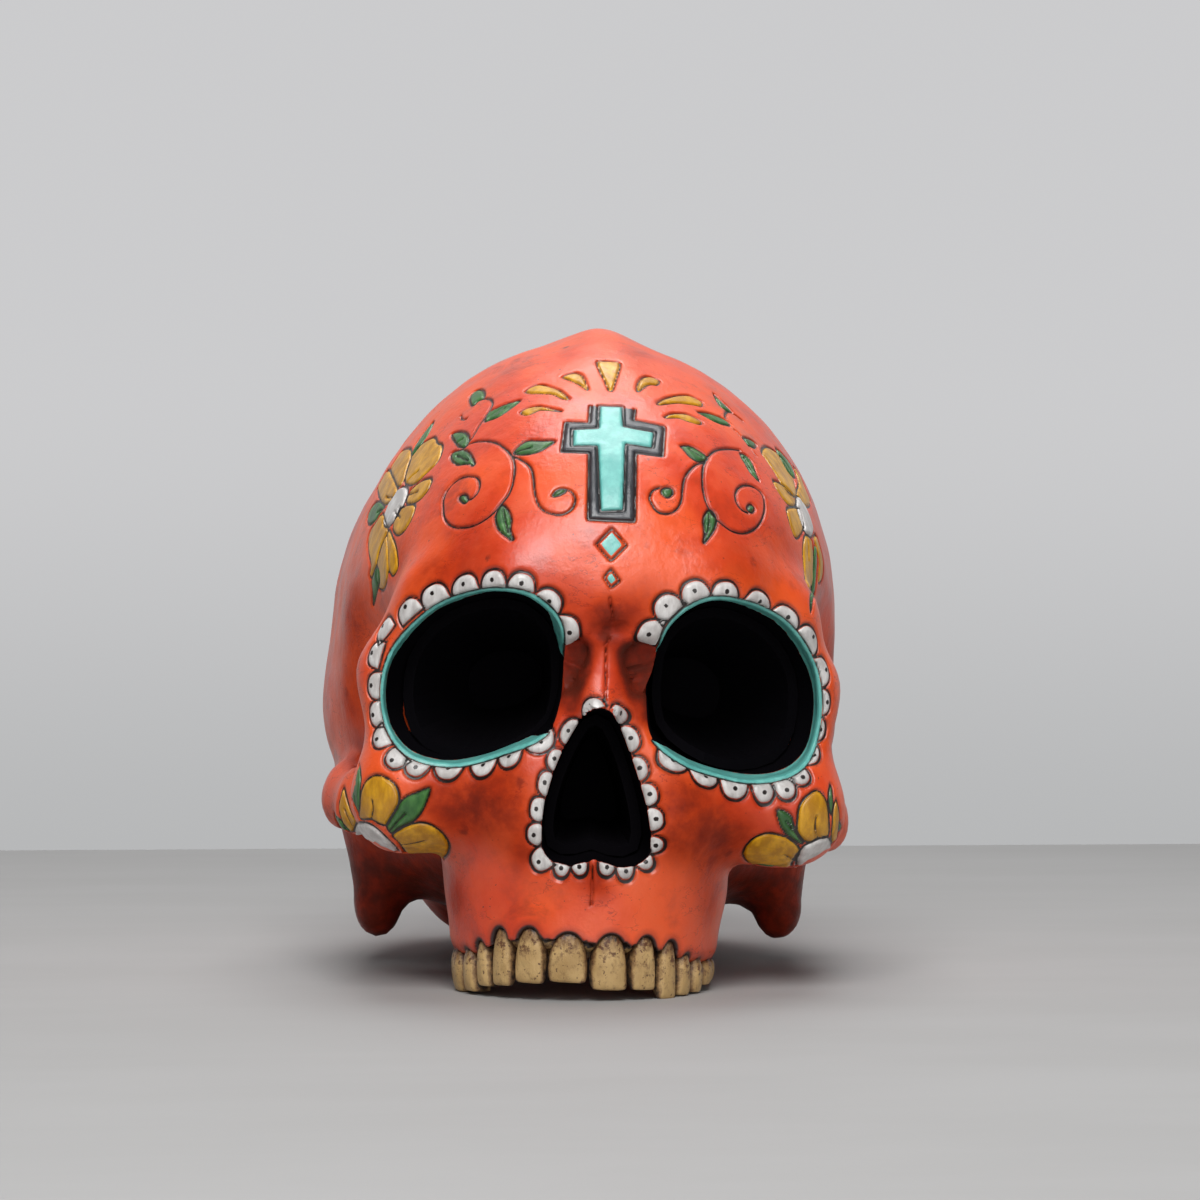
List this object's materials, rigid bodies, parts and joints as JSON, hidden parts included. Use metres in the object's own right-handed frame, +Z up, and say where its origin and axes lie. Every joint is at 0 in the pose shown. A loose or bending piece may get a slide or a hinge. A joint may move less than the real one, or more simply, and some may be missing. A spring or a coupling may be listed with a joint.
{
  "type": "sugar skull",
  "caption": "Life-size human skull figure without a lower jaw, for Day of the Dead decoration, with hollow eye sockets and nose, cheek arches and separate upper teeth.",
  "frame": {"origin": "on the table, under the middle of the skull's bounding box", "axes": "+X to the right of someone looking at the face, -Y out of the face, +Z up; the skull leans 2.5 degrees towards +X"},
  "size_m": [0.1318, 0.179, 0.1588],
  "materials": {
    "painted_bone": "satin orange-red paint with dark wash and painted ornament",
    "black_lining": "flat black",
    "tooth": "satin tan with brown wash"
  },
  "bodies": {
    "root": {"cranium": "painted_bone", "cheekbone_left": "painted_bone", "cheekbone_right": "painted_bone", "upper_jaw_left": "painted_bone", "upper_jaw_right": "painted_bone", "nasal_bone_left": "painted_bone", "nasal_bone_right": "painted_bone", "eye_lining_left": "black_lining", "eye_lining_right": "black_lining", "nose_lining": "black_lining", "central_incisor_left": "tooth", "central_incisor_right": "tooth", "lateral_incisor_left": "tooth", "lateral_incisor_right": "tooth", "canine_left": "tooth", "canine_right": "tooth", "first_premolar_left": "tooth", "first_premolar_right": "tooth", "second_premolar_left": "tooth", "second_premolar_right": "tooth", "first_molar_left": "tooth", "first_molar_right": "tooth", "second_molar_left": "tooth", "second_molar_right": "tooth"}
  },
  "joints": []
}
